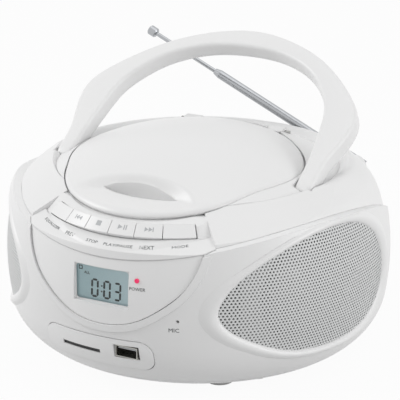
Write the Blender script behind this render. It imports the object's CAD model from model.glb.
from math import cos, pi, radians, sin, sqrt

import bmesh
import bpy
import numpy as np
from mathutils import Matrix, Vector
from mathutils.bvhtree import BVHTree


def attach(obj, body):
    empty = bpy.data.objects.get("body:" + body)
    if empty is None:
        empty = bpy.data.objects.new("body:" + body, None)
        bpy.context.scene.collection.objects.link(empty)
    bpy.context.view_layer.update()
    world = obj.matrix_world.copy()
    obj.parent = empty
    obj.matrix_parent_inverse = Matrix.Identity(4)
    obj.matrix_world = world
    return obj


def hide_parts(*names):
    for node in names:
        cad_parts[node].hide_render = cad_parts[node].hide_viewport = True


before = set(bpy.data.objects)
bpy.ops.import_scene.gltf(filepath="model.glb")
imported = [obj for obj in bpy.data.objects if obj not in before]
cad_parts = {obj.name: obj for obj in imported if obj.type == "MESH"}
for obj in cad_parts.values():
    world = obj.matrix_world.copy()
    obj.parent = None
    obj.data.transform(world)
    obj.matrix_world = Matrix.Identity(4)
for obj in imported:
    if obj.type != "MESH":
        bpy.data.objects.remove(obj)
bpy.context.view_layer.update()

bpy.context.scene.view_settings.view_transform = "Standard"
mm = 0.001


# Studio: a pale floor, an even white surround and three large soft lamps, with plain white behind it all.
# The camera stands to the right of the front and looks down a little.
def linear(hex_code):
    """An sRGB hex colour as linear RGBA."""
    parts = [int(hex_code[i:i + 2], 16) / 255 for i in (1, 3, 5)]
    return [c / 12.92 if c <= 0.04045 else ((c + 0.055) / 1.055) ** 2.4 for c in parts] + [1.0]


def add(tree, kind, settings=None, inputs=None):
    """Add a node, set its properties, then set or link its inputs."""
    node = tree.nodes.new(kind)
    for name, value in (settings or {}).items():
        setattr(node, name, value)
    for name, value in (inputs or {}).items():
        socket = node.inputs[name]
        if isinstance(value, bpy.types.NodeSocket):
            tree.links.new(value, socket)
        else:
            socket.default_value = value
    return node


def blank(name):
    """A new node material with only its output."""
    material = bpy.data.materials.new(name)
    material.use_nodes = True
    material.node_tree.nodes.clear()
    return material, material.node_tree, add(material.node_tree, "ShaderNodeOutputMaterial")


def seen_directly(tree):
    """1 for rays from the camera or seen in gloss or glass, so those meet plain white."""
    rays = add(tree, "ShaderNodeLightPath").outputs
    either = add(tree, "ShaderNodeMath", {"operation": "MAXIMUM"},
                 {0: rays["Is Camera Ray"], 1: rays["Is Glossy Ray"]})
    seen = add(tree, "ShaderNodeMath", {"operation": "MAXIMUM"},
               {0: either.outputs[0], 1: rays["Is Transmission Ray"]})
    return seen.outputs[0]


SURROUND, WHITE_SHARE = 0.60, 0.95
world = bpy.data.worlds.new("surround")
bpy.context.scene.world = world
world.use_nodes = True
sky = world.node_tree
sky.nodes.clear()
even = add(sky, "ShaderNodeBackground", None, {"Color": linear("#FFFFFF"), "Strength": SURROUND})
white = add(sky, "ShaderNodeBackground", None, {"Color": linear("#FFFFFF"), "Strength": 1.0})
either = add(sky, "ShaderNodeMixShader", None,
             {0: seen_directly(sky), 1: even.outputs[0], 2: white.outputs[0]})
add(sky, "ShaderNodeOutputWorld", None, {"Surface": either.outputs[0]})

floor_paint, tree, out = blank("studio_floor")
matt = add(tree, "ShaderNodeBsdfDiffuse", None, {"Color": linear("#CFCFCF")})
glow = add(tree, "ShaderNodeEmission", None, {"Color": linear("#FFFFFF"), "Strength": 1.0})
share = add(tree, "ShaderNodeMath", {"operation": "MULTIPLY"}, {0: seen_directly(tree), 1: WHITE_SHARE})
both = add(tree, "ShaderNodeMixShader", None, {0: share.outputs[0], 1: matt.outputs[0], 2: glow.outputs[0]})
tree.links.new(both.outputs[0], out.inputs["Surface"])


def solid(name, verts, faces, smooth=True):
    """A mesh object from plain lists in metres."""
    mesh = bpy.data.meshes.new(name)
    mesh.from_pydata([tuple(v) for v in verts], [], faces)
    for polygon in mesh.polygons:
        polygon.use_smooth = smooth
    mesh.update()
    obj = bpy.data.objects.new(name, mesh)
    bpy.context.scene.collection.objects.link(obj)
    return obj


FLOOR_HALF = 6.0
floor_corners = [(sx * FLOOR_HALF, sy * FLOOR_HALF, 0) for sx, sy in ((-1, -1), (1, -1), (1, 1), (-1, 1))]
floor = solid("studio_floor", floor_corners, [(0, 1, 2, 3)], False)
floor.data.materials.append(floor_paint)
LIT_POINT = Vector((0, 0, 0.09))


def lamp(name, place, size, power):
    """A square soft lamp turned to the middle of the object."""
    data = bpy.data.lights.new(name, "AREA")
    data.energy = power
    data.size = size
    obj = bpy.data.objects.new(name, data)
    obj.location = place
    obj.rotation_euler = (LIT_POINT - Vector(place)).to_track_quat("-Z", "Y").to_euler()
    bpy.context.scene.collection.objects.link(obj)


lamp("lamp_left", (-1.3, -0.6, 0.95), 0.8, 11.2)
lamp("lamp_above", (0.1, 0.1, 1.5), 1.0, 1.6)
lamp("lamp_right", (1.3, 0.0, 0.6), 0.8, 6.6)

AZIMUTH, ELEVATION, DISTANCE, LENS, SENSOR = radians(27.9), radians(18.3), 1.0689, 153.26, 36
AIM_RIGHT, AIM_DEEP, AIM_HIGH = 1.2, 8.0, 89.0
aim = Vector((AIM_RIGHT * cos(AZIMUTH), AIM_DEEP + AIM_RIGHT * sin(AZIMUTH), AIM_HIGH)) * mm
back = Vector((sin(AZIMUTH) * cos(ELEVATION), -cos(AZIMUTH) * cos(ELEVATION), sin(ELEVATION)))
view = bpy.data.cameras.new("camera")
view.lens = LENS
view.sensor_width = SENSOR
camera = bpy.data.objects.new("camera", view)
camera.location = aim + back * DISTANCE
camera.rotation_euler = (-back).to_track_quat("-Z", "Y").to_euler()
bpy.context.scene.collection.objects.link(camera)
bpy.context.scene.camera = camera


# Cabinet: the lower barrel, the base pan, the domed top and the battery door.
# Injection-moulded ABS in satin white: edges a little rounded by the mould, a faint even grain.
GLOSS_PATCH_MM = 45


def moulded(name, colour, roughness, grain=0.012, edge=0.6, grain_mm=0.35):
    """Moulded plastic: the mould's fine grain in the bump, soft edges, slight unevenness of gloss."""
    material, tree, out = blank(name)
    place = add(tree, "ShaderNodeTexCoord").outputs["Object"]
    fine = add(tree, "ShaderNodeTexNoise", None, {"Vector": place, "Scale": 1000 / grain_mm, "Detail": 2.0})
    broad = add(tree, "ShaderNodeTexNoise", None,
                {"Vector": place, "Scale": 1000 / GLOSS_PATCH_MM, "Detail": 1.0})
    edges = add(tree, "ShaderNodeBevel", {"samples": 6}, {"Radius": edge * mm})
    bump = add(tree, "ShaderNodeBump", None,
               {"Strength": 0.25, "Distance": grain * mm, "Height": fine.outputs["Fac"],
                "Normal": edges.outputs[0]})
    gloss = add(tree, "ShaderNodeMapRange", None,
                {"Value": broad.outputs["Fac"], "From Min": 0.3, "From Max": 0.7,
                 "To Min": roughness - 0.03, "To Max": roughness + 0.03})
    body = add(tree, "ShaderNodeBsdfPrincipled", None,
               {"Base Color": linear(colour), "IOR": 1.53, "Roughness": gloss.outputs[0],
                "Normal": bump.outputs[0]})
    tree.links.new(body.outputs[0], out.inputs["Surface"])
    return material


def paint(material, *nodes):
    """Give CAD nodes one material, in their own slots."""
    for node in nodes:
        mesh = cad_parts[node].data
        for slot in range(len(mesh.materials)):
            mesh.materials[slot] = material


satin_white = moulded("white_abs_satin", "#E7E7E7", 0.36, edge=0.9)
paint(satin_white, "lower_cabinet", "bottom_shell", "battery_door", "top_cabinet", "volume_knob")

AXIS_Y, BODY_R, BELLY_Z, BARREL_ARC = 8.0, 121.0, 60.0, 150.0
CREASE_Y, CREASE_Z, CREASE_R = -29.2, -116.3, 221.0


def body_radius(z):
    """Radius of the barrel at a height, in millimetres."""
    return BODY_R - (z - BELLY_Z) ** 2 / (2 * BARREL_ARC)


# Front panel: one moulded white plate let in under the top cabinet, with the display window, the power
# lamp and the microphone hole; the card and stick panel below it is moulded the same way.
panel_white = moulded("white_abs_panel", "#EBEBEB", 0.40, edge=0.7)
paint(panel_white, "front_panel", "media_bezel")
dark_mic = moulded("black_foam_felt", "#1C1C1D", 0.85, grain=0.05, grain_mm=0.5)
paint(dark_mic, "microphone")


def skin_of(node):
    """A CAD node's faces, ready for finding where a ray meets them."""
    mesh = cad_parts[node].data
    return BVHTree.FromPolygons([v.co[:] for v in mesh.vertices], [p.vertices[:] for p in mesh.polygons])


def face_out(obj, merge=1e-7):
    """Merge doubles and turn every face of a closed shape outwards."""
    bm = bmesh.new()
    bm.from_mesh(obj.data)
    bmesh.ops.remove_doubles(bm, verts=bm.verts, dist=merge)
    bmesh.ops.dissolve_degenerate(bm, edges=bm.edges, dist=merge)
    bmesh.ops.recalc_face_normals(bm, faces=bm.faces)
    bm.to_mesh(obj.data)
    bm.free()


def finish(obj, material, body, slot, *nodes):
    """Give a piece its material, its body, its slot and the CAD nodes that it stands for."""
    obj.data.materials.clear()
    obj.data.materials.append(material)
    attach(obj, body)
    if nodes:
        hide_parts(*nodes)


def tubes(name, shapes, closed, smooth=True):
    """Closed mesh of one or more tubes, each given as loops of points that follow one another.

    The last loop is joined to the first, or each end gets a face of its own.
    """
    verts, faces = [], []
    for loops in shapes:
        start, count = len(verts), len(loops[0])
        verts += [v for loop in loops for v in loop]
        rows = [range(start + j * count, start + (j + 1) * count) for j in range(len(loops))]
        for low, high in zip(rows, rows[1:] + rows[:1] if closed else rows[1:]):
            for i in range(count):
                k = (i + 1) % count
                faces.append((low[i], low[k], high[k], high[i]))
        if not closed:
            faces += [tuple(rows[0]), tuple(reversed(rows[-1]))]
    obj = solid(name, verts, faces, smooth)
    face_out(obj)
    return obj


def plates(name, outlines):
    """Flat closed plates from outlines in millimetres, from height -0.5 to 0.5."""
    verts, faces = [], []
    for outline in outlines:
        n, start = len(outline), len(verts)
        verts += [(x, y, h) for h in (-0.5, 0.5) for x, y in outline]
        faces += [tuple(start + i for i in reversed(range(n))), tuple(start + n + i for i in range(n))]
        for i in range(n):
            k = (i + 1) % n
            faces.append((start + i, start + k, start + n + k, start + n + i))
    return solid(name, verts, faces, False)


CAPITAL_SHARE = 0.69


def lettering(name, words, height):
    """Plain capitals as a closed flat plate, centred, their height in millimetres."""
    curve = bpy.data.curves.new(name, "FONT")
    curve.body = words
    curve.size = height / CAPITAL_SHARE
    curve.align_x = "CENTER"
    curve.align_y = "CENTER"
    curve.extrude = 0.5
    curve.resolution_u = 2
    text = bpy.data.objects.new(name + "_text", curve)
    bpy.context.scene.collection.objects.link(text)
    bpy.context.view_layer.update()
    mesh = bpy.data.meshes.new_from_object(text.evaluated_get(bpy.context.evaluated_depsgraph_get()))
    bpy.data.objects.remove(text)
    obj = bpy.data.objects.new(name, mesh)
    bpy.context.scene.collection.objects.link(obj)
    return obj


def lay_on(obj, skin, start, way, rise=0.07, sink=0.03):
    """Lay a flat plate on a surface: each point follows a ray, start(x, y) gives where the ray sets out."""
    for vertex in obj.data.vertices:
        x, y, h = vertex.co
        hit, normal, _, _ = skin.ray_cast(Vector(start(x, y)) * mm, Vector(way))
        if normal.dot(Vector(way)) > 0:
            normal = -normal
        vertex.co = hit + normal * (rise if h > 0 else -sink) * mm
    face_out(obj)


def ink(name, colour):
    """Screen-printed ink: nearly matt, a little uneven where the mesh of the screen was."""
    material, tree, out = blank(name)
    place = add(tree, "ShaderNodeTexCoord").outputs["Object"]
    weave = add(tree, "ShaderNodeTexNoise", None, {"Vector": place, "Scale": 1000 / 0.5, "Detail": 1.0})
    gloss = add(tree, "ShaderNodeMapRange", None,
                {"Value": weave.outputs["Fac"], "To Min": 0.45, "To Max": 0.6})
    body = add(tree, "ShaderNodeBsdfPrincipled", None,
               {"Base Color": linear(colour), "Roughness": gloss.outputs[0]})
    tree.links.new(body.outputs[0], out.inputs["Surface"])
    return material


LED_X, LED_Z, MIC_X, MIC_Z, WELL_CLEAR = 23.0, 78.5, 46.0, 56.0, 200
grey_ink = ink("grey_screen_ink", "#34373A")
for name, words, height, node, label_x, label_z in (
        ("label_power", "POWER", 1.9, "front_panel", LED_X + 0.3, LED_Z - 5.0),
        ("label_mic", "MIC", 2.4, "lower_cabinet", MIC_X - 2.0, MIC_Z - 5.6)):
    label = lettering(name, words, height)
    lay_on(label, skin_of(node), lambda x, y: (label_x + x, -WELL_CLEAR, label_z + y), (0, 1, 0))
    finish(label, grey_ink, "cabinet", "cabinet_white")

# Power lamp: a red light-emitting diode in a clear red lens, lit, pushed through the panel from behind.
# It glows evenly and a little pink, with a small bright core.
FIRST, SECOND = 6, 7  # the two colours of a colour mix node, by their place among its inputs
lamp_red, tree, out = blank("lit_red_lens")
place = add(tree, "ShaderNodeTexCoord").outputs["Object"]
cloud = add(tree, "ShaderNodeTexNoise", None, {"Vector": place, "Scale": 1000 / 2.0, "Detail": 0.0})
tint = add(tree, "ShaderNodeMix", {"data_type": "RGBA"},
           {"Factor": cloud.outputs["Fac"], FIRST: linear("#C2114A"), SECOND: linear("#E2336E")})
lens = add(tree, "ShaderNodeBsdfPrincipled", None,
           {"Base Color": tint.outputs[2], "Roughness": 0.15, "IOR": 1.49,
            "Emission Color": linear("#E0104E"), "Emission Strength": 0.35})
tree.links.new(lens.outputs[0], out.inputs["Surface"])
paint(lamp_red, "power_led")

# Display: a liquid-crystal cell behind a clear acrylic window, in a moulded recess with round corners.
# The cell's reflector gives the grey-green ground; the segments that are driven stand nearly black on it.
LCD_W, LCD_H, LCD_Z, LCD_Y, GLASS_T, CELL_T = 36.0, 22.0, 72.0, -108.4, 1.2, 4.0
WINDOW_LAP, WINDOW_T, WINDOW_CORNER = 1.2, 0.7, 0.6


def stand_in_window(obj, y0, y1):
    """Stand a flat plate, drawn in millimetres about the window's centre, upright between two depths."""
    for vertex in obj.data.vertices:
        x, y, h = vertex.co
        vertex.co = Vector((x, y1 if h < 0 else y0, LCD_Z + y)) * mm
    face_out(obj)


def rounded(w, h, r, steps=6):
    """Outline of a rectangle with round corners, about the origin."""
    points = []
    for quarter, (sx, sy) in enumerate(((1, 1), (-1, 1), (-1, -1), (1, -1))):
        for i in range(steps + 1):
            a = pi / 2 * (quarter + i / steps)
            points.append((sx * (w / 2 - r) + r * cos(a), sy * (h / 2 - r) + r * sin(a)))
    return points


acrylic, tree, out = blank("clear_acrylic")
place = add(tree, "ShaderNodeTexCoord").outputs["Object"]
film = add(tree, "ShaderNodeTexNoise", None, {"Vector": place, "Scale": 1000 / 12.0, "Detail": 0.0})
gloss = add(tree, "ShaderNodeMapRange", None, {"Value": film.outputs["Fac"], "To Min": 0.015, "To Max": 0.05})
clear = add(tree, "ShaderNodeBsdfTransparent", None, {"Color": linear("#F8FBFB")})
sheen = add(tree, "ShaderNodeBsdfGlossy", None, {"Roughness": gloss.outputs[0]})
slant = add(tree, "ShaderNodeFresnel", None, {"IOR": 1.3})
sheet = add(tree, "ShaderNodeMixShader", None,
            {0: slant.outputs[0], 1: clear.outputs[0], 2: sheen.outputs[0]})
tree.links.new(sheet.outputs[0], out.inputs["Surface"])
window = plates("display_window", [rounded(LCD_W + 2 * WINDOW_LAP, LCD_H + 2 * WINDOW_LAP, WINDOW_CORNER)])
stand_in_window(window, LCD_Y, LCD_Y + WINDOW_T)
finish(window, acrylic, "cabinet", "display_window", "display_glass")

SURROUND_W, SURROUND_T, SURROUND_CORNER, RECESS_CORNER, CLEAR = 0.45, 0.6, 1.9, 0.05, 0.02
outer_edge = rounded(LCD_W, LCD_H, RECESS_CORNER)
inner_edge = rounded(LCD_W - 2 * SURROUND_W, LCD_H - 2 * SURROUND_W, SURROUND_CORNER)
walls = ((outer_edge, -0.5), (inner_edge, -0.5), (inner_edge, 0.5), (outer_edge, 0.5))
surround = tubes("display_surround", [[[(x, y, h) for x, y in line] for line, h in walls]], True, False)
stand_in_window(surround, LCD_Y - SURROUND_T, LCD_Y - CLEAR)
finish(surround, panel_white, "cabinet", "panel_grey")

CELL_Y = LCD_Y + GLASS_T
cell, tree, out = blank("liquid_crystal_cell")
place = add(tree, "ShaderNodeTexCoord").outputs["Object"]
axes = add(tree, "ShaderNodeSeparateXYZ", None, {0: place})
across = add(tree, "ShaderNodeMapRange", None,
             {"Value": axes.outputs["X"], "From Min": -LCD_W / 2 * mm, "From Max": LCD_W / 2 * mm,
              "To Min": 0.0, "To Max": 1.0})
ground = add(tree, "ShaderNodeMix", {"data_type": "RGBA"},
             {"Factor": across.outputs[0], FIRST: linear("#BDD1D6"), SECOND: linear("#D4E2E7")})
behind = add(tree, "ShaderNodeMath", {"operation": "GREATER_THAN"},
             {0: axes.outputs["Y"], 1: (CELL_Y + CELL_T) * mm})
sides = add(tree, "ShaderNodeMix", {"data_type": "RGBA"},
            {"Factor": behind.outputs[0], FIRST: ground.outputs[2], SECOND: linear("#1E5A38")})
grain = add(tree, "ShaderNodeTexNoise", None, {"Vector": place, "Scale": 1000 / 0.3, "Detail": 1.0})
bump = add(tree, "ShaderNodeBump", None,
           {"Strength": 0.1, "Distance": 0.005 * mm, "Height": grain.outputs["Fac"]})
glass = add(tree, "ShaderNodeBsdfPrincipled", None,
            {"Base Color": sides.outputs[2], "Roughness": 0.4, "IOR": 1.5, "Normal": bump.outputs[0],
             "Emission Color": sides.outputs[2], "Emission Strength": 0.13})
tree.links.new(glass.outputs[0], out.inputs["Surface"])
paint(cell, "display_module")

DIGIT_W, DIGIT_H, DIGIT_LOW, STROKE, SLANT, BAR_GAP = 5.0, 11.4, -8.6, 1.2, 0.05, 0.25
SEGMENTS = {"a": (0, 2, 1, 2), "b": (1, 2, 1, 1), "c": (1, 1, 1, 0), "d": (0, 0, 1, 0), "e": (0, 0, 0, 1),
            "f": (0, 1, 0, 2), "g": (0, 1, 1, 1)}
SHOWN = {"0": "abcdef", "3": "abcdg"}
DIGITS = (("0", -8.3), ("0", -0.2), ("3", 6.7))
COLON_X, COLON_LEVELS, COLON_DOT = -2.2, (0.62, 1.3), 0.8
ICON_LEFT, ICON_LOW, ICON_W, ICON_LINE = -16.6, 6.6, 2.4, 0.4
WORD_X, WORD_Y, WORD_H, SEGMENT_T = -11.2, 5.0, 1.6, 0.14


def segment(x0, y0, x1, y1):
    """One bar of a digit, with pointed ends, between two corners of it."""
    along_bar = Vector((x1 - x0, y1 - y0)).normalized()
    side_way = Vector((-along_bar.y, along_bar.x)) * STROKE / 2
    a = Vector((x0, y0)) + along_bar * BAR_GAP
    b = Vector((x1, y1)) - along_bar * BAR_GAP
    inset = along_bar * STROKE / 2
    return [a, a + inset - side_way, b - inset - side_way, b, b - inset + side_way, a + inset + side_way]


def block(left, low, wide, tall):
    """Outline of an upright rectangle."""
    return [(left, low), (left + wide, low), (left + wide, low + tall), (left, low + tall)]


shapes = []
w, h = DIGIT_W - STROKE, (DIGIT_H - STROKE) / 2
for digit, left in DIGITS:
    for letter in SHOWN[digit]:
        x0, y0, x1, y1 = SEGMENTS[letter]
        shapes.append([(left + p.x, p.y) for p in segment(x0 * w, y0 * h, x1 * w, y1 * h)])
shapes += [block(COLON_X, level * h, COLON_DOT, COLON_DOT) for level in COLON_LEVELS]
shapes = [[(x + SLANT * y, y + DIGIT_LOW) for x, y in shape] for shape in shapes]
for far in (0, ICON_W - ICON_LINE):
    shapes.append(block(ICON_LEFT, ICON_LOW + far, ICON_W, ICON_LINE))
    shapes.append(block(ICON_LEFT + far, ICON_LOW + ICON_LINE, ICON_LINE, ICON_W - 2 * ICON_LINE))
digits = plates("display_segments", shapes)
word = lettering("display_word", "ALL", WORD_H)
for vertex in word.data.vertices:
    vertex.co.x += WORD_X
    vertex.co.y += WORD_Y
electrode = ink("dark_electrode", "#060708")
for piece in (digits, word):
    stand_in_window(piece, CELL_Y - CLEAR - SEGMENT_T, CELL_Y - CLEAR)
    finish(piece, electrode, "cabinet", "display_cell")

# Card and stick sockets: a black moulded card socket with a sprung flap in the slot, and a stick socket
# of folded, nickel-plated steel with a moulded grey tongue, both soldered to the board behind the panel.
black_abs = moulded("black_abs_moulded", "#1B1B1C", 0.45, grain=0.02)
paint(black_abs, "card_reader")
CARD_X, CARD_W, CARD_Z, CARD_H, FLAP_SINK, FLAP_T, FLAP_POINTS = -15.0, 26.8, 31.0, 2.4, 0.5, 0.6, 13
FLAP_CORNERS = ((-1, FLAP_SINK), (1, FLAP_SINK), (1, FLAP_SINK + FLAP_T), (-1, FLAP_SINK + FLAP_T))
flap = []
for x in np.linspace(CARD_X - CARD_W / 2, CARD_X + CARD_W / 2, FLAP_POINTS):
    loop = []
    for up, sink in FLAP_CORNERS:
        z = CARD_Z + up * CARD_H / 2
        loop.append((x * mm, (AXIS_Y - sqrt(body_radius(z) ** 2 - x ** 2) + sink) * mm, z * mm))
    flap.append(loop)
finish(tubes("card_slot_flap", [flap], False, False), black_abs, "cabinet", "cabinet_white")


def metal(name, colour, roughness, scratch_mm=0.6, darker=0.82):
    """Bare or plated metal: fine marks from how it was worked, and a slightly uneven tone."""
    material, tree, out = blank(name)
    place = add(tree, "ShaderNodeTexCoord").outputs["Object"]
    marks = add(tree, "ShaderNodeTexNoise", None,
                {"Vector": place, "Scale": 1000 / scratch_mm, "Detail": 3.0})
    gloss = add(tree, "ShaderNodeMapRange", None,
                {"Value": marks.outputs["Fac"], "From Min": 0.3, "From Max": 0.7,
                 "To Min": roughness - 0.04, "To Max": roughness + 0.08})
    worn = [c * darker for c in linear(colour)[:3]] + [1.0]
    tone = add(tree, "ShaderNodeMix", {"data_type": "RGBA"},
               {"Factor": marks.outputs["Fac"], FIRST: linear(colour), SECOND: worn})
    body = add(tree, "ShaderNodeBsdfPrincipled", None,
               {"Base Color": tone.outputs[2], "Metallic": 1.0, "Roughness": gloss.outputs[0]})
    tree.links.new(body.outputs[0], out.inputs["Surface"])
    return material


nickel = metal("nickel_plated_steel", "#B9B8B2", 0.25)
paint(nickel, "usb_socket", "battery_contacts")
paint(moulded("grey_nylon_moulded", "#B4B6B8", 0.5), "usb_tongue")

# Speaker rims: moulded beads round the grilles, in the same satin white as the cabinet. Each lies on
# the barrel and laps over the edge of its opening, so no gap shows round it.
SPEAKER_DEG = 65.0
GRILLE = [(-62, 58), (-57, 72), (-47, 81.5), (-23, 93.5), (8, 100), (34, 97), (54, 83.5), (62, 63),
          (56, 44.5), (38, 33.5), (8, 29.6), (-23, 32.8), (-46, 42.5), (-58, 51)]
RIM = [(-71.5, 57), (-66.5, 72.5), (-53, 83.5), (-26, 97), (6, 104.6), (38, 102.5), (62, 88), (71.5, 64),
       (65, 41), (43, 28.6), (8, 25.4), (-24, 28), (-50, 37), (-66, 47.5)]


def through(points, count, closed):
    """Points spaced along a smooth curve through the given points (a cubic spline by chord length)."""
    given = np.array(points, float)
    knots = np.vstack([given[-3:], given, given[:4]]) if closed else given
    at = np.concatenate([[0], np.cumsum(np.linalg.norm(np.diff(knots, axis=0), axis=1))])
    gap = np.diff(at)
    matrix, right = np.eye(len(knots)), np.zeros(knots.shape)
    for i in range(1, len(knots) - 1):
        matrix[i, i - 1:i + 2] = gap[i - 1], 2 * (gap[i - 1] + gap[i]), gap[i]
        right[i] = 6 * ((knots[i + 1] - knots[i]) / gap[i] - (knots[i] - knots[i - 1]) / gap[i - 1])
    bend = np.linalg.solve(matrix, right)
    first, last = (at[3], at[3 + len(given)]) if closed else (at[0], at[-1])
    wanted = np.linspace(first, last, count, endpoint=not closed)
    k = np.clip(np.searchsorted(at, wanted, side="right") - 1, 0, len(knots) - 2)
    step, ahead, past = gap[k][:, None], (at[k + 1] - wanted)[:, None], (wanted - at[k])[:, None]
    before = bend[k] * ahead ** 3 / (6 * step) + (knots[k] / step - bend[k] * step / 6) * ahead
    after = bend[k + 1] * past ** 3 / (6 * step) + (knots[k + 1] / step - bend[k + 1] * step / 6) * past
    return before + after


def on_barrel(side, t, z, rise):
    """Place in metres of a point t round from a speaker's axis, at height z, off the barrel by rise."""
    a = radians(SPEAKER_DEG)
    r = body_radius(z) + rise
    d = sqrt(max(r * r - t * t, 1))
    x = side * (t * cos(a) + d * sin(a))
    y = AXIS_Y + t * sin(a) - d * cos(a)
    return (x * mm, y * mm, z * mm)


def crease_height(side, t, z):
    """Height of the crease under the top cabinet, where a point of the barrel would meet it."""
    y = on_barrel(side, t, z, 0)[1] / mm
    return CREASE_Z + sqrt(CREASE_R ** 2 - (y - CREASE_Y) ** 2)


BEAD = [(-0.16, -1.2), (-0.16, -0.15), (-0.08, 0.1), (0.0, 0.42), (0.09, 0.85), (0.2, 1.2), (0.33, 1.38),
        (0.46, 1.3), (0.6, 0.95), (0.74, 0.35), (0.86, -0.35), (0.94, -1.1), (0.98, -1.8), (0.99, -2.6)]
RIM_POINTS, UNDER_CREASE = 220, 0.5
outer, inner = through(RIM, RIM_POINTS, True), through(GRILLE, RIM_POINTS, True)
for side, name in ((1, "right"), (-1, "left")):
    loops = []
    for inward, rise in BEAD:
        line = outer * (1 - inward) + inner * inward
        low_line = [(t, min(z, crease_height(side, t, z) - UNDER_CREASE)) for t, z in line]
        loops.append([on_barrel(side, t, z, rise) for t, z in low_line])
    rim = tubes(f"rim_bead_{name}", [loops], True)
    finish(rim, satin_white, "cabinet", "rim_silver", f"speaker_rim_{name}")

# Speaker grilles: steel sheet punched with round holes in staggered rows, painted light grey, bent round
# the barrel and held by the bead. One tree lays out the punching, then wraps the flat sheet.
HOLE_PITCH, HOLE_D, SHEET_T, SHEET_SINK, SHEET_UNDER, GRILLE_MID_Z = 2.1, 1.3, 0.8, 1.0, 1.1, 65.0
CELL_WELD, SHEET_POINTS = 0.02, 120


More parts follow.
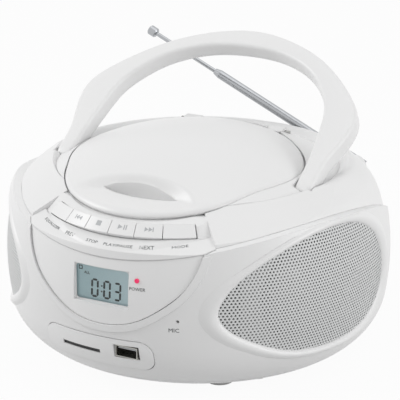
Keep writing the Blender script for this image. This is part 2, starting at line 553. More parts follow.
def grille_tree(material):
    """Punched sheet over a flat outline (x round the body, y up), wrapped on the barrel."""
    group = bpy.data.node_groups.new("punched_sheet", "GeometryNodeTree")
    group.interface.new_socket("Outline", in_out="INPUT", socket_type="NodeSocketGeometry")
    for label, value in (("Pitch", HOLE_PITCH * mm), ("Hole", HOLE_D * mm), ("Thickness", SHEET_T * mm),
                         ("Sink", SHEET_SINK * mm), ("Side", 1.0)):
        group.interface.new_socket(label, in_out="INPUT", socket_type="NodeSocketFloat").default_value = value
    for label, value in (("Columns", 66), ("Rows", 44)):
        group.interface.new_socket(label, in_out="INPUT", socket_type="NodeSocketInt").default_value = value
    group.interface.new_socket("Sheet", in_out="OUTPUT", socket_type="NodeSocketGeometry")
    here = add(group, "GeometryNodeInputPosition").outputs[0]
    flat = add(group, "ShaderNodeSeparateXYZ", None, {0: here}).outputs
    known = {socket.name: socket for socket in add(group, "NodeGroupInput").outputs}
    known.update({"x": flat["X"], "y": flat["Y"], "z": flat["Z"]})
    turned = radians(SPEAKER_DEG)
    for result, operation, *terms in (
            ("row pitch", "MULTIPLY", "Pitch", sqrt(3) / 2),
            ("steps across", "SUBTRACT", "Columns", 1),
            ("wide", "MULTIPLY", "steps across", "Pitch"),
            ("steps up", "SUBTRACT", "Rows", 1),
            ("tall", "MULTIPLY", "steps up", "row pitch"),
            ("half tall", "MULTIPLY", "tall", 0.5),
            ("above foot", "ADD", "y", "half tall"),
            ("rows up", "DIVIDE", "above foot", "row pitch"),
            ("row", "ROUND", "rows up"),
            ("odd row", "FLOORED_MODULO", "row", 2.0),
            ("left or right", "SUBTRACT", "odd row", 0.5),
            ("half pitch", "MULTIPLY", "Pitch", 0.5),
            ("stagger", "MULTIPLY", "left or right", "half pitch"),
            ("cell radius", "DIVIDE", "Pitch", sqrt(3)),
            ("hole radius", "MULTIPLY", "Hole", 0.5),
            ("height", "ADD", "y", GRILLE_MID_Z * mm),
            ("off belly", "SUBTRACT", "height", BELLY_Z * mm),
            ("off belly squared", "MULTIPLY", "off belly", "off belly"),
            ("fall", "DIVIDE", "off belly squared", 2 * BARREL_ARC * mm),
            ("barrel", "SUBTRACT", BODY_R * mm, "fall"),
            ("sunk", "SUBTRACT", "barrel", "Sink"),
            ("through sheet", "SUBTRACT", "z", "Thickness"),
            ("radius", "ADD", "sunk", "through sheet"),
            ("radius squared", "MULTIPLY", "radius", "radius"),
            ("x squared", "MULTIPLY", "x", "x"),
            ("depth squared", "SUBTRACT", "radius squared", "x squared"),
            ("depth", "SQRT", "depth squared"),
            ("depth across", "MULTIPLY", "depth", sin(turned)),
            ("across", "MULTIPLY_ADD", "x", cos(turned), "depth across"),
            ("place x", "MULTIPLY", "across", "Side"),
            ("depth along", "MULTIPLY", "depth", -cos(turned)),
            ("along", "MULTIPLY_ADD", "x", sin(turned), "depth along"),
            ("place y", "ADD", "along", AXIS_Y * mm)):
        terms = {i: known[term] if isinstance(term, str) else term for i, term in enumerate(terms)}
        known[result] = add(group, "ShaderNodeMath", {"operation": operation}, terms).outputs[0]
    lattice = add(group, "GeometryNodeMeshGrid", None,
                  {"Size X": known["wide"], "Size Y": known["tall"],
                   "Vertices X": known["Columns"], "Vertices Y": known["Rows"]})
    shift = add(group, "ShaderNodeCombineXYZ", None, {"X": known["stagger"]})
    staggered = add(group, "GeometryNodeSetPosition", None,
                    {"Geometry": lattice.outputs["Mesh"], "Offset": shift.outputs[0]})
    above = add(group, "ShaderNodeVectorMath", {"operation": "ADD"}, {0: here, 1: (0, 0, 1)})
    over = add(group, "GeometryNodeRaycast", None,
               {"Target Geometry": known["Outline"], "Source Position": above.outputs[0],
                "Ray Direction": (0, 0, -1), "Ray Length": 2.0})
    centres = add(group, "GeometryNodeMeshToPoints", None,
                  {"Mesh": staggered.outputs[0], "Selection": over.outputs["Is Hit"]})
    cell_edge = add(group, "GeometryNodeCurvePrimitiveCircle", None,
                    {"Resolution": 6, "Radius": known["cell radius"]})
    upright = add(group, "GeometryNodeTransform", None,
                  {"Geometry": cell_edge.outputs[0], "Rotation": (0, 0, pi / 6)})
    hole = add(group, "GeometryNodeCurvePrimitiveCircle", None,
               {"Resolution": 12, "Radius": known["hole radius"]})
    both = add(group, "GeometryNodeJoinGeometry")
    group.links.new(upright.outputs[0], both.inputs[0])
    group.links.new(hole.outputs[0], both.inputs[0])
    tile = add(group, "GeometryNodeFillCurve", None, {0: both.outputs[0]})
    laid = add(group, "GeometryNodeInstanceOnPoints", None,
               {"Points": centres.outputs[0], "Instance": tile.outputs[0]})
    real = add(group, "GeometryNodeRealizeInstances", None, {"Geometry": laid.outputs[0]})
    sheet = add(group, "GeometryNodeMergeByDistance", None,
                {"Geometry": real.outputs[0], "Distance": CELL_WELD * mm})
    raised = add(group, "GeometryNodeExtrudeMesh", None,
                 {"Mesh": sheet.outputs[0], "Individual": False, "Offset Scale": known["Thickness"]})
    under = add(group, "GeometryNodeFlipFaces", None, {"Mesh": sheet.outputs[0]})
    shell = add(group, "GeometryNodeJoinGeometry")
    group.links.new(raised.outputs[0], shell.inputs[0])
    group.links.new(under.outputs[0], shell.inputs[0])
    whole = add(group, "GeometryNodeMergeByDistance", None,
                {"Geometry": shell.outputs[0], "Distance": CELL_WELD * mm})
    place = add(group, "ShaderNodeCombineXYZ", None,
                {"X": known["place x"], "Y": known["place y"], "Z": known["height"]})
    wrapped = add(group, "GeometryNodeSetPosition", None,
                  {"Geometry": whole.outputs[0], "Position": place.outputs[0]})
    painted = add(group, "GeometryNodeSetMaterial", None,
                  {"Geometry": wrapped.outputs[0], "Material": material})
    add(group, "NodeGroupOutput", None, {0: painted.outputs[0]})
    return group


def grown(points, amount):
    """Move a closed outline's points outwards."""
    p = np.array(points, float)
    way = np.roll(p, -1, axis=0) - np.roll(p, 1, axis=0)
    way /= np.linalg.norm(way, axis=1)[:, None]
    turn = np.sum(p[:, 0] * np.roll(p[:, 1], -1) - np.roll(p[:, 0], -1) * p[:, 1])
    normal = np.stack([way[:, 1], -way[:, 0]], axis=1) * (1 if turn > 0 else -1)
    return p + normal * amount


def keep_result(obj):
    """Make what the object's modifiers give its own plain mesh, and drop them."""
    bpy.context.view_layer.update()
    done = bpy.data.meshes.new_from_object(obj.evaluated_get(bpy.context.evaluated_depsgraph_get()))
    obj.modifiers.clear()
    obj.data = done


def baked(obj, group, values):
    """Run a tree on an object with its inputs set, and keep the result as a plain mesh."""
    change = obj.modifiers.new("make", "NODES")
    change.node_group = group
    for item in group.interface.items_tree:
        if item.in_out == "INPUT" and item.name in values:
            change[item.identifier] = values[item.name]
    keep_result(obj)
    face_out(obj)


grille_paint, tree, out = blank("painted_punched_steel")
place = add(tree, "ShaderNodeTexCoord").outputs["Object"]
orange_peel = add(tree, "ShaderNodeTexNoise", None, {"Vector": place, "Scale": 1000 / 0.8, "Detail": 1.0})
bump = add(tree, "ShaderNodeBump", None,
           {"Strength": 0.15, "Distance": 0.01 * mm, "Height": orange_peel.outputs["Fac"]})
gloss = add(tree, "ShaderNodeMapRange", None,
            {"Value": orange_peel.outputs["Fac"], "To Min": 0.36, "To Max": 0.46})
coat = add(tree, "ShaderNodeBsdfPrincipled", None,
           {"Base Color": linear("#D6D7D7"), "IOR": 1.5, "Roughness": gloss.outputs[0],
            "Normal": bump.outputs[0]})
tree.links.new(coat.outputs[0], out.inputs["Surface"])
punching = grille_tree(grille_paint)
sheet_edge = grown(through(GRILLE, SHEET_POINTS, True), SHEET_UNDER)
for side, name in ((1, "right"), (-1, "left")):
    flat = [(t * mm, (z - GRILLE_MID_Z) * mm, 0.0) for t, z in sheet_edge]
    grille = solid(f"grille_sheet_{name}", flat, [tuple(range(len(flat)))], False)
    baked(grille, punching, {"Side": float(side)})
    finish(grille, grille_paint, "cabinet", "grille_steel", f"speaker_grille_{name}")

# Loudspeakers: a stamped, black-painted steel basket and magnet behind a moulded baffle, with a pulp
# cone, a rubber roll round it and a dust cap. Distance from the axis tells cone, roll and cap apart.
SPEAKER_Z, DUSTCAP_R, ROLL_R = 62.0, 10.0, 27.0
paint(moulded("white_abs_baffle", "#E2E2E2", 0.5), "speaker_baffle_right", "speaker_baffle_left")
basket = metal("black_painted_steel", "#2A2A2B", 0.45)
paint(basket, "speaker_frame_right", "speaker_frame_left")
cone_paper, tree, out = blank("pulp_cone_and_rubber_roll")
place = add(tree, "ShaderNodeTexCoord").outputs["Object"]
mirrored = add(tree, "ShaderNodeVectorMath", {"operation": "ABSOLUTE"}, {0: place})
split = add(tree, "ShaderNodeSeparateXYZ", None, {0: place}).outputs
right_half = add(tree, "ShaderNodeSeparateXYZ", None, {0: mirrored.outputs[0]}).outputs["X"]
point = add(tree, "ShaderNodeCombineXYZ", None, {"X": right_half, "Y": split["Y"], "Z": split["Z"]})
from_axis = add(tree, "ShaderNodeVectorMath", {"operation": "SUBTRACT"},
                {0: point.outputs[0], 1: (0, AXIS_Y * mm, SPEAKER_Z * mm)})
turned = radians(SPEAKER_DEG)
crossed = add(tree, "ShaderNodeVectorMath", {"operation": "CROSS_PRODUCT"},
              {0: from_axis.outputs[0], 1: (sin(turned), -cos(turned), 0)})
length = add(tree, "ShaderNodeVectorMath", {"operation": "LENGTH"}, {0: crossed.outputs[0]})
off_axis = length.outputs["Value"]
in_cap = add(tree, "ShaderNodeMath", {"operation": "LESS_THAN"}, {0: off_axis, 1: DUSTCAP_R * mm})
in_roll = add(tree, "ShaderNodeMath", {"operation": "GREATER_THAN"}, {0: off_axis, 1: ROLL_R * mm})
fibre = add(tree, "ShaderNodeTexNoise", None, {"Vector": place, "Scale": 1000 / 1.2, "Detail": 4.0})
pulp = add(tree, "ShaderNodeMix", {"data_type": "RGBA"},
           {"Factor": fibre.outputs["Fac"], FIRST: linear("#BDBDBE"), SECOND: linear("#CDCDCE")})
capped = add(tree, "ShaderNodeMix", {"data_type": "RGBA"},
             {"Factor": in_cap.outputs[0], FIRST: pulp.outputs[2], SECOND: linear("#F2F2F2")})
rolled = add(tree, "ShaderNodeMix", {"data_type": "RGBA"},
             {"Factor": in_roll.outputs[0], FIRST: capped.outputs[2], SECOND: linear("#0B0B0B")})
felt = add(tree, "ShaderNodeBump", None,
           {"Strength": 0.4, "Distance": 0.06 * mm, "Height": fibre.outputs["Fac"]})
body = add(tree, "ShaderNodeBsdfPrincipled", None,
           {"Base Color": rolled.outputs[2], "Roughness": 0.7, "Normal": felt.outputs[0]})
tree.links.new(body.outputs[0], out.inputs["Surface"])
paint(cone_paper, "speaker_cone_right", "speaker_cone_left")

# Keys: six moulded caps on the control slope, satin white like the top. Four carry printed marks, and
# the use of each key is printed on the slope below it.
keys_white = moulded("white_abs_keys", "#E9E9E9", 0.34, edge=0.5)
paint(keys_white, *[f"key_{i}" for i in range(1, 7)])
CD_Y, LABEL_R, MARK_R, LABEL_H = -23.0, 83.3, 76.1, 2.35
EDGES = [-38.0, -23.9, -11.8, 0.0, 11.8, 23.9, 38.0]
WORDS = ["EQUALIZER", "PREV", "STOP", "PLAY/PAUSE", "NEXT", "MODE"]


def arrow(base, tip, half):
    """Outline of a triangle that points left or right."""
    return [(base, -half), (tip, 0), (base, half)]


MARKS = {2: [block(-2.7, -1.4, 0.5, 2.8), arrow(0.1, -2.1, 1.4), arrow(2.5, 0.3, 1.4)],
         3: [block(-1.6, -1.6, 3.2, 3.2)],
         4: [arrow(-2.7, 0.1, 1.5), block(0.8, -1.5, 0.6, 3.0), block(2.1, -1.5, 0.6, 3.0)],
         5: [arrow(-2.5, -0.3, 1.4), arrow(-0.1, 2.1, 1.4), block(2.2, -1.4, 0.5, 2.8)]}
pale_ink = ink("pale_grey_screen_ink", "#B4B6B8")
label_ink = ink("mid_grey_screen_ink", "#5E6163")


def on_slope(radius, index):
    """Where the points of a flat plate set out, for a plate centred on the slope in line with a key."""
    middle = radians((EDGES[index - 1] + EDGES[index]) / 2)

    def start(x, y):
        r = radius - y * sqrt(0.5)
        a = middle + x / radius
        return (r * sin(a), CD_Y - r * cos(a), WELL_CLEAR)
    return start


for index, outlines in MARKS.items():
    mark = plates(f"key_{index}_mark", outlines)
    lay_on(mark, skin_of(f"key_{index}"), on_slope(MARK_R, index), (0, 0, -1), 0.09, 0.05)
    finish(mark, pale_ink, f"key_{index}", "key_white")
slope = skin_of("top_cabinet")
for index, words in enumerate(WORDS, 1):
    label = lettering(f"label_key_{index}", words, LABEL_H)
    lay_on(label, slope, on_slope(LABEL_R, index), (0, 0, -1))
    finish(label, label_ink, "cabinet", "cabinet_white")

# CD lid: one moulded shell on two hinge pins, satin white. Its front lip drops below a raised brow, and
# a finger scoop shaped like a lens is let in at the foot of the brow; the disc clamp's cup hangs under it.
LID_FRONT_R, LID_FRONT_DEG, LID_REAR_Y, LID_T = 66.0, 68.0, 52.0, 2.6
LID_SIDE = [(72.6, -20.0), (74.4, -2.0), (66.0, 20.0), (42.0, 43.0)]
DOME_R, DOME_TOP, DOME_Y = 180.0, 137.0, 6.0
LIP_Z, LIP_Y, LIP_SLOPE = 111.6, -89.0, 0.122
BROW = [(-60, -83), (-46, -73.5), (-40.5, -70.2), (-34.5, -66.8), (-28, -64.2), (-18, -62.1), (-6, -60.6),
        (4.4, -60.0), (14, -60.2), (22.8, -61.3), (30.2, -63.4), (36.8, -66.8), (43.2, -71.3), (48, -75.5),
        (60, -86)]
BROW_FOOT, BROW_DEEP, BROW_POINTS, LID_POINTS = 5.2, 6.4, 241, 330
brow_line = through(BROW, BROW_POINTS, False)


def lid_z(x, y):
    """Height of the lid's outer face: the dome behind the brow line, the lip in front of it."""
    brow_y = np.interp(x, brow_line[:, 0], brow_line[:, 1])
    dome = DOME_TOP - DOME_R + np.sqrt(DOME_R ** 2 - x ** 2 - (y - DOME_Y) ** 2)
    lip = np.minimum(LIP_Z + LIP_SLOPE * (y - LIP_Y), dome)
    up = np.clip((y - brow_y + BROW_FOOT) / BROW_DEEP, 0, 1)
    return lip + (dome - lip) * up * up * (3 - 2 * up)


def lid_edge(count):
    """Points round the lid's outline."""
    a = radians(LID_FRONT_DEG)
    front = [(LID_FRONT_R * sin(v), CD_Y - LID_FRONT_R * cos(v)) for v in np.linspace(-a, a, count // 3)]
    other_side = [(-x, y) for x, y in reversed(LID_SIDE)]
    rest = through([front[-1], *LID_SIDE, (0.0, LID_REAR_Y), *other_side, front[0]], 2 * count // 3, False)
    return np.array(front + [tuple(p) for p in rest[1:-1]])


edge = lid_edge(LID_POINTS)
middle = np.array([0.0, -12.0])
steps = np.concatenate([np.linspace(1, 0.965, 4), np.linspace(0.955, 0.5, 62), np.linspace(0.47, 0.04, 12)])
rounding = {0: -0.9, 1: -0.22, 2: -0.03}
upper, under = [], []
for j, step in enumerate(steps):
    x, y = (middle + (edge - middle) * step).T
    face = lid_z(x, y)
    upper.append(np.stack([x, y, face + rounding.get(j, 0.0)], axis=1) * mm)
    under.append(np.stack([x, y, face - LID_T], axis=1) * mm)
lid = tubes("cd_lid_shell", [upper[::-1] + under], False)


def combine(obj, other, operation):
    """Join another shape to a mesh, or take it out of it."""
    change = obj.modifiers.new("combine", "BOOLEAN")
    change.operation = operation
    change.solver = "EXACT"
    change.object = other
    keep_result(obj)
    bpy.data.objects.remove(other)


def prism(name, outline, z0, z1):
    """Upright block with a given plan, in millimetres."""
    upright = plates(name, [outline])
    for vertex in upright.data.vertices:
        x, y, h = vertex.co
        vertex.co = Vector((x, y, z0 if h < 0 else z1)) * mm
    face_out(upright)
    return upright


FINGER_REAR = [(-23.5, -66.2), (-17, -64.4), (-8, -62.8), (2.5, -62.2), (13, -63.2), (26, -66.6)]
FINGER_FRONT = [(26, -66.6), (18.5, -68.9), (9.7, -70.3), (-0.3, -70.6), (-11.6, -69.2), (-23.5, -66.2)]
FINGER_Z, FINGER_FLOOR_T, FINGER_WALL, UNDER_FACE, OVER_LID, FINGER_POINTS = 109.3, 1.2, 1.3, 0.7, 130, 24
front_arc = through(FINGER_FRONT, FINGER_POINTS, False)
finger = np.vstack([through(FINGER_REAR, FINGER_POINTS, False), front_arc[1:-1]])
finger_cup = prism("finger_cup", grown(finger, FINGER_WALL), FINGER_Z - FINGER_FLOOR_T, OVER_LID)
for vertex in finger_cup.data.vertices:
    if vertex.co.z > FINGER_Z * mm:
        vertex.co.z = (lid_z(vertex.co.x / mm, vertex.co.y / mm) - UNDER_FACE) * mm
combine(lid, finger_cup, "UNION")
combine(lid, prism("finger_scoop", finger, FINGER_Z, OVER_LID), "DIFFERENCE")

HINGE_X, HINGE_Y, HINGE_Z, KNUCKLE_R, ARM_HALF = 30.0, 59.0, 125.2, 3.2, 5.6
arm_side = [(47.5, 123.4), (56.5, 122.2)]
for v in np.linspace(0, 0.83 * pi, 12):
    arm_side.append((HINGE_Y + KNUCKLE_R * sin(v), HINGE_Z - KNUCKLE_R * cos(v)))
arm_side += [(54, 127.1), (47.5, 128.7)]
for side in (1, -1):
    arm = plates("hinge_arm", [arm_side])
    for vertex in arm.data.vertices:
        y, z, h = vertex.co
        vertex.co = Vector((side * HINGE_X + 2 * h * ARM_HALF, y, z)) * mm
    face_out(arm)
    combine(lid, arm, "UNION")
CUP_R, CUP_BORE, CUP_LOW, CUP_TOP = 11.0, 8.6, 108.8, 132.2
CUP_CORNERS = [(CUP_R, CUP_TOP), (CUP_R, CUP_LOW), (CUP_BORE, CUP_LOW), (CUP_BORE, CUP_TOP)]
turn = np.linspace(0, 2 * pi, 48, endpoint=False)
cup = [[(r * cos(v) * mm, (CD_Y + r * sin(v)) * mm, z * mm) for v in turn] for r, z in CUP_CORNERS]
combine(lid, tubes("clamp_cup", [cup], True), "UNION")
finish(lid, satin_white, "lid", "lid_white", "cd_lid")
paint(metal("bright_steel_pin", "#B4B4B2", 0.22), "lid_hinge_pins", "handle_pins", "sled_rods")

# Handle: a moulded arch with a flat, soft-edged section, hung on a pin at each foot between two cheeks.
# Each foot ends in a round eye inside the shoulder.
HANDLE_IN = [(77.3, 4), (77.1, 12), (76.2, 23), (74.6, 37), (71, 53.5), (64, 66), (55, 77), (41, 87),
             (26, 93)]
HANDLE_OUT = [(89.6, 12), (92.6, 24), (95.4, 38), (94.2, 50), (84.5, 65.5), (69, 81.5), (51, 95), (32, 104)]
IN_TOP, OUT_TOP, HANDLE_T, HANDLE_CORNER, LEAN, ARCH_POINTS = 96.0, 110.5, 12.0, 2.6, radians(57.5), 181
FOOT_Y, FOOT_Z, PIVOT_S, EYE_IN, EYE_OUT, EYE_R = -4.04, 118.2, -10.0, 77.3, 88.3, 6.0


def on_lean(x, s, n):
    """Place in metres of a point in the handle's own plane: x across, s up the lean, n out of the plane."""
    y = FOOT_Y + s * sin(LEAN) - n * cos(LEAN)
    z = FOOT_Z + s * cos(LEAN) + n * sin(LEAN)
    return (x * mm, y * mm, z * mm)


def arch(half, top):
    """One edge of the arch, smooth through its right half, its top and its left half."""
    return through(half + [(0, top)] + [(-x, s) for x, s in reversed(half)], ARCH_POINTS, False)


arch_in = arch([(EYE_IN, PIVOT_S)] + HANDLE_IN, IN_TOP)
arch_out = arch([(EYE_OUT, PIVOT_S)] + HANDLE_OUT, OUT_TOP)
stations = [(a_in, a_out, HANDLE_T / 2) for a_in, a_out in zip(arch_in, arch_out)]
for side in (1, -1):
    foot = []
    for v in np.linspace(0.16, 0.47, 8) * pi:
        s = PIVOT_S - EYE_R * sin(v)
        foot.append((np.array((side * EYE_IN, s)), np.array((side * EYE_OUT, s)), EYE_R * cos(v)))
    stations = foot[::-1] + stations if side > 0 else stations + foot
loops = []
for a_in, a_out, half_t in stations:
    mid, half = (a_in + a_out) / 2, (a_out - a_in) / 2
    half_w = float(np.linalg.norm(half))
    corner = min(HANDLE_CORNER, half_t * 0.98, half_w * 0.98)
    section = rounded(2 * half_w, 2 * half_t, corner, 5)
    loops.append([on_lean(*(mid + half / half_w * u), n) for u, n in section])
finish(tubes("handle_arch", [loops], False), satin_white, "handle", "handle_white", "handle")

# Antenna: drawn brass tube and rod, chromium plated, on a swivel with a fork. Chrome mirrors what is
# round it, a little unevenly from the drawing.
chrome = metal("chromium_plate", "#B6B8BB", 0.13, scratch_mm=3.0, darker=0.9)
paint(chrome, "antenna_swivel", "antenna_tube", "antenna_rod")

# Volume knob: a moulded wheel with a ribbed edge on the rear right of the body, pressed on the stem of
# the control behind it; a dark printed dot on its face shows where it stands.
VOLUME_Z, VOLUME_R, VOLUME_PROUD, RIBS, RIB_DEPTH, DOT_UP, DOT_R = 40.0, 9.0, 4.5, 40, 0.3, 7.2, 0.6
volume_way = radians(138.0)
out_way = Vector((sin(volume_way), -cos(volume_way), 0))
round_way = Vector((cos(volume_way), sin(volume_way), 0))
knob_at = Vector((0, AXIS_Y, VOLUME_Z)) + out_way * body_radius(VOLUME_Z)


def on_knob(out_by, radius, angle, up=0):
    """Place in metres of a point: how far out, then radius and angle round the axis, or a line above it."""
    round_it = Vector((0, 0, 1)) * (up + radius * cos(angle)) + round_way * radius * sin(angle)
    return tuple((knob_at + out_way * out_by + round_it) * mm)


def turned_shape(name, profile, count, up=0):
    """Closed shape turned about the knob's axis, or about a line above it."""
    loops = [[on_knob(out_by, r, 2 * pi * i / count, up) for i in range(count)] for out_by, r in profile]
    return tubes(name, [loops], True)


knob_profile = [(-2.0, 0, 0), (-2.0, VOLUME_R - 0.4, 0), (-1.6, VOLUME_R, 0), (-1.2, VOLUME_R, 1),
                (3.4, VOLUME_R, 1), (3.8, VOLUME_R - 0.1, 0), (4.3, VOLUME_R - 0.5, 0),
                (VOLUME_PROUD, VOLUME_R - 1.1, 0), (VOLUME_PROUD, 6.4, 0), (VOLUME_PROUD - 0.5, 5.6, 0),
                (VOLUME_PROUD - 0.6, 0, 0)]
around = 4 * RIBS
loops = []
for out_by, radius, ribbed in knob_profile:
    dips = [RIB_DEPTH if ribbed and i % 4 > 1 else 0 for i in range(around)]
    loops.append([on_knob(out_by, radius - dip, 2 * pi * i / around) for i, dip in enumerate(dips)])
knob = tubes("volume_wheel", [loops], True)
combine(knob, turned_shape("volume_stem", [(-8, 0), (-8, 3), (-1.9, 3), (-1.9, 0)], 24), "UNION")
finish(knob, satin_white, "volume_knob", "knob_white", "volume_knob")
dot_profile = [(VOLUME_PROUD - 0.05, 0), (VOLUME_PROUD - 0.05, DOT_R), (VOLUME_PROUD + 0.05, DOT_R),
               (VOLUME_PROUD + 0.05, 0)]
finish(turned_shape("volume_dot", dot_profile, 20, DOT_UP), grey_ink, "volume_knob", "knob_white")

# Feet: moulded thermoplastic rubber pads, light grey, glued into shallow seats in the base pan.
# Each has a soft edge and a shallow cup in the middle of its sole.
FOOT_X, FOOT_YS, FOOT_R, FOOT_H = 47.0, (-53.0, 71.0), 9.0, 4.5
foot_profile = [(0, FOOT_H), (FOOT_R, FOOT_H), (FOOT_R, 1.5), (8.75, 0.8), (8.2, 0.25), (7.4, 0), (5.6, 0),
                (5.0, 0.6), (0, 0.7)]
rubber_grey = moulded("grey_rubber_pad", "#D2D2D1", 0.6, grain=0.03, edge=0.4)
pads = []
for x in (-FOOT_X, FOOT_X):
    for y in FOOT_YS:
        pads.append([[((x + r * cos(v)) * mm, (y + r * sin(v)) * mm, z * mm) for v in turn]
                     for r, z in foot_profile])
finish(tubes("foot_pads", pads, False), rubber_grey, "cabinet", "damper_rubber", "feet")

# Case screws: cross-recessed, zinc-plated steel, sunk in the base pan. One tree makes the head with its
# recess and its shank, and sets a copy at each point of a small mesh.
SCREW_PLACES = [(70, 64), (-70, 64), (70, -48), (-70, -48)]
SCREW_HEAD_R, SCREW_SHANK_R, SCREW_L, HEAD_LOW, HEAD_H, RECESS, BLADE_W = 3.2, 1.48, 12.0, 4.9, 1.8, 1.1, 0.7
CROSS_SHARE = 1.3
zinc = metal("zinc_plated_steel", "#A9ABAC", 0.32)
group = bpy.data.node_groups.new("cross_head_screws", "GeometryNodeTree")
group.interface.new_socket("Places", in_out="INPUT", socket_type="NodeSocketGeometry")
for label, size in (("Head radius", SCREW_HEAD_R), ("Head height", HEAD_H), ("Shank radius", SCREW_SHANK_R),
                    ("Length", SCREW_L), ("Recess", RECESS), ("Blade", BLADE_W)):
    group.interface.new_socket(label, in_out="INPUT", socket_type="NodeSocketFloat").default_value = size * mm
group.interface.new_socket("Screws", in_out="OUTPUT", socket_type="NodeSocketGeometry")
given = add(group, "NodeGroupInput").outputs


def up_by(geometry, height):
    """Lift a primitive by a height."""
    shift = add(group, "ShaderNodeCombineXYZ", None, {"Z": height})
    lifted = add(group, "GeometryNodeTransform", None,
                 {"Geometry": geometry, "Translation": shift.outputs[0]})
    return lifted.outputs[0]


head_middle = add(group, "ShaderNodeMath", {"operation": "MULTIPLY"},
                  {0: given["Head height"], 1: 0.5}).outputs[0]
shank_middle = add(group, "ShaderNodeMath", {"operation": "MULTIPLY_ADD"},
                   {0: given["Length"], 1: 0.5, 2: given["Head height"]}).outputs[0]
head = add(group, "GeometryNodeMeshCylinder", None,
           {"Vertices": 32, "Radius": given["Head radius"], "Depth": given["Head height"]})
shank = add(group, "GeometryNodeMeshCylinder", None,
            {"Vertices": 20, "Radius": given["Shank radius"], "Depth": given["Length"]})
reach = add(group, "ShaderNodeMath", {"operation": "MULTIPLY"},
            {0: given["Head radius"], 1: CROSS_SHARE}).outputs[0]
cross = add(group, "GeometryNodeMeshBoolean", {"operation": "UNION"})
for x, y in ((reach, given["Blade"]), (given["Blade"], reach)):
    size = add(group, "ShaderNodeCombineXYZ", None, {"X": x, "Y": y, "Z": given["Recess"]})
    bar = add(group, "GeometryNodeMeshCube", None, {"Size": size.outputs[0]})
    group.links.new(bar.outputs["Mesh"], cross.inputs["Mesh 2"])
sunk = add(group, "GeometryNodeMeshBoolean", {"operation": "DIFFERENCE"},
           {"Mesh 1": up_by(head.outputs["Mesh"], head_middle)})
group.links.new(cross.outputs["Mesh"], sunk.inputs["Mesh 2"])
screw = add(group, "GeometryNodeJoinGeometry")
group.links.new(sunk.outputs["Mesh"], screw.inputs[0])
group.links.new(up_by(shank.outputs["Mesh"], shank_middle), screw.inputs[0])
spots = add(group, "GeometryNodeMeshToPoints", None, {"Mesh": given["Places"]})
set_in = add(group, "GeometryNodeInstanceOnPoints", None,
             {"Points": spots.outputs[0], "Instance": screw.outputs[0]})
real = add(group, "GeometryNodeRealizeInstances", None, {"Geometry": set_in.outputs[0]})
plated = add(group, "GeometryNodeSetMaterial", None, {"Geometry": real.outputs[0], "Material": zinc})
add(group, "NodeGroupOutput", None, {0: plated.outputs[0]})
screws = solid("base_screws", [(x * mm, y * mm, HEAD_LOW * mm) for x, y in SCREW_PLACES], [])
baked(screws, group, {})
finish(screws, zinc, "cabinet", "tinned_steel", "case_screws")

# Disc drive: a moulded well with a pressed plate hung under it on rubber bushes, the motors' zinc-plated
# cans, a black hub, a black pick-up sled with its lens and a nylon pinion.
paint(moulded("light_grey_abs_well", "#C9CBCC", 0.48), "cd_well")
paint(black_abs, "turntable", "disc_clamp", "laser_sled")
paint(moulded("natural_nylon", "#E7E3D6", 0.5, grain=0.01), "sled_gear")
paint(moulded("black_rubber", "#1E1E1E", 0.8, grain=0.04), "mech_dampers")
paint(metal("galvanised_sheet", "#A6A9AA", 0.38, scratch_mm=3.0), "mech_frame")
paint(metal("zinc_plated_can", "#B2B4B5", 0.28), "spindle_motor", "feed_motor")
LENS_LOW = 101.15
lens_and_case, tree, out = blank("pick_up_case_and_lens")
place = add(tree, "ShaderNodeTexCoord").outputs["Object"]
high = add(tree, "ShaderNodeSeparateXYZ", None, {0: place}).outputs["Z"]
is_lens = add(tree, "ShaderNodeMath", {"operation": "GREATER_THAN"}, {0: high, 1: LENS_LOW * mm})
shade = add(tree, "ShaderNodeMix", {"data_type": "RGBA"},
            {"Factor": is_lens.outputs[0], FIRST: linear("#202022"), SECOND: linear("#2B3F5C")})
polish = add(tree, "ShaderNodeMapRange", None, {"Value": is_lens.outputs[0], "To Min": 0.45, "To Max": 0.05})
body = add(tree, "ShaderNodeBsdfPrincipled", None,
           {"Base Color": shade.outputs[2], "IOR": 1.52, "Roughness": polish.outputs[0]})
tree.links.new(body.outputs[0], out.inputs["Surface"])
paint(lens_and_case, "laser_head")

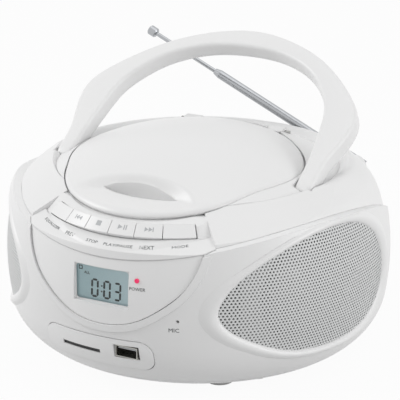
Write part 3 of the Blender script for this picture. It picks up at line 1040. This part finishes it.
# Power and sockets: a black inlet with two tinned pins, a black headphone jack, a transformer of stacked
# iron with taped coils, a moulded battery bay and the volume control in its cup.
paint(black_abs, "mains_inlet", "headphone_jack", "volume_control")
paint(metal("tinned_brass_pins", "#BDBDB8", 0.2), "mains_pins")
paint(moulded("white_abs_bay", "#D8D8D6", 0.5), "battery_bay")
CORE_Y, CORE_HALF, SHEET_PAIR_MM = 62.0, 9.5, 0.5
iron_and_tape, tree, out = blank("stacked_iron_and_taped_coil")
place = add(tree, "ShaderNodeTexCoord").outputs["Object"]
depth = add(tree, "ShaderNodeSeparateXYZ", None, {0: place}).outputs["Y"]
sheets = add(tree, "ShaderNodeTexWave", {"bands_direction": "Y"},
             {"Vector": place, "Scale": 1000 / SHEET_PAIR_MM / 20, "Distortion": 0.3})
iron = add(tree, "ShaderNodeMix", {"data_type": "RGBA"},
           {"Factor": sheets.outputs["Fac"], FIRST: linear("#3A3B3D"), SECOND: linear("#57595C")})
off_core = add(tree, "ShaderNodeMath", {"operation": "SUBTRACT"}, {0: depth, 1: CORE_Y * mm})
from_core = add(tree, "ShaderNodeMath", {"operation": "ABSOLUTE"}, {0: off_core.outputs[0]})
taped = add(tree, "ShaderNodeMath", {"operation": "GREATER_THAN"},
            {0: from_core.outputs[0], 1: CORE_HALF * mm})
coil = add(tree, "ShaderNodeMix", {"data_type": "RGBA"},
           {"Factor": taped.outputs[0], FIRST: iron.outputs[2], SECOND: linear("#C9A43A")})
body = add(tree, "ShaderNodeBsdfPrincipled", None, {"Base Color": coil.outputs[2], "Roughness": 0.45})
tree.links.new(body.outputs[0], out.inputs["Surface"])
paint(iron_and_tape, "transformer")

# Boards: glass-fibre laminate under green lacquer, with tracks that show paler through it. What stands on
# the main board, above its face, is black moulded epoxy.
MAIN_FACE, NO_PARTS, TRACK_MM = 47.7, 300.0, 8.0


def board(name, face):
    """Lacquered circuit board; everything higher than its face is a black part."""
    material, tree, out = blank(name)
    place = add(tree, "ShaderNodeTexCoord").outputs["Object"]
    tracks = add(tree, "ShaderNodeTexBrick", {"offset": 0.37},
                 {"Vector": place, "Scale": 1000 / TRACK_MM, "Mortar Size": 0.03, "Mortar": linear("#3F8F60"),
                  "Color1": linear("#1D5A37"), "Color2": linear("#215F3B")})
    high = add(tree, "ShaderNodeSeparateXYZ", None, {0: place}).outputs["Z"]
    is_part = add(tree, "ShaderNodeMath", {"operation": "GREATER_THAN"}, {0: high, 1: face * mm})
    shade = add(tree, "ShaderNodeMix", {"data_type": "RGBA"},
                {"Factor": is_part.outputs[0], FIRST: tracks.outputs["Color"], SECOND: linear("#1C1C1E")})
    body = add(tree, "ShaderNodeBsdfPrincipled", None,
               {"Base Color": shade.outputs[2], "Roughness": 0.35, "IOR": 1.5})
    tree.links.new(body.outputs[0], out.inputs["Surface"])
    return material


paint(board("green_main_board", MAIN_FACE), "main_board")
paint(board("green_small_board", NO_PARTS), "front_board", "key_board")
